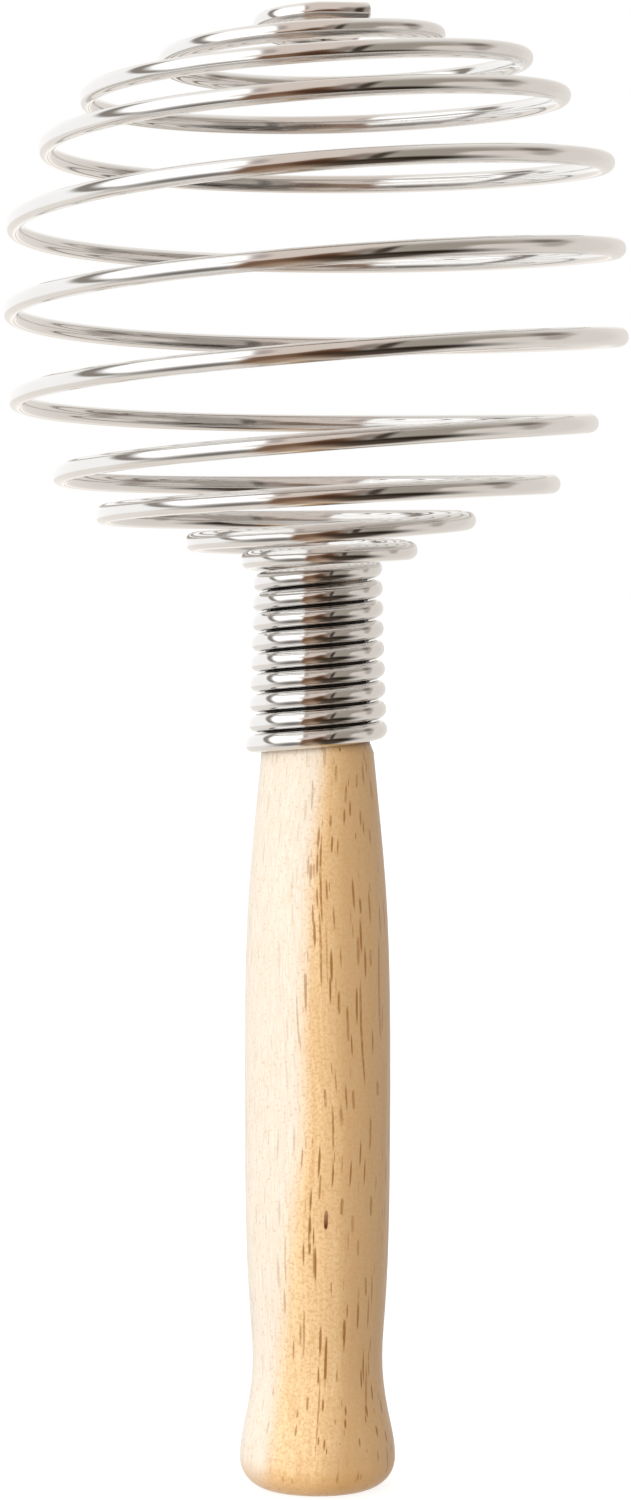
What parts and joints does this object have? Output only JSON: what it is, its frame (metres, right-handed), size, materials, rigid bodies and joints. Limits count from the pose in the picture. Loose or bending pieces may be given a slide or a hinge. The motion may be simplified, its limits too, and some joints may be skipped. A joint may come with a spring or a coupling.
{
  "type": "dough whisk",
  "caption": "Hand whisk with a ball of loose wire turns wound onto a turned wooden handle.",
  "frame": {"origin": "centre of the flat face at the butt of the handle, where it stands", "axes": "+Z along the handle's axis, towards the wire ball; +X to the right and -Y towards the viewer, with the wire's cut end at the crown in front"},
  "size_m": [0.107, 0.1068, 0.2534],
  "materials": {
    "wood": "pale close-grained hardwood, turned, sanded and lightly oiled",
    "wire": "bright polished stainless wire"
  },
  "bodies": {
    "root": {"handle": "wood", "wire_coil": "wire"}
  },
  "joints": []
}
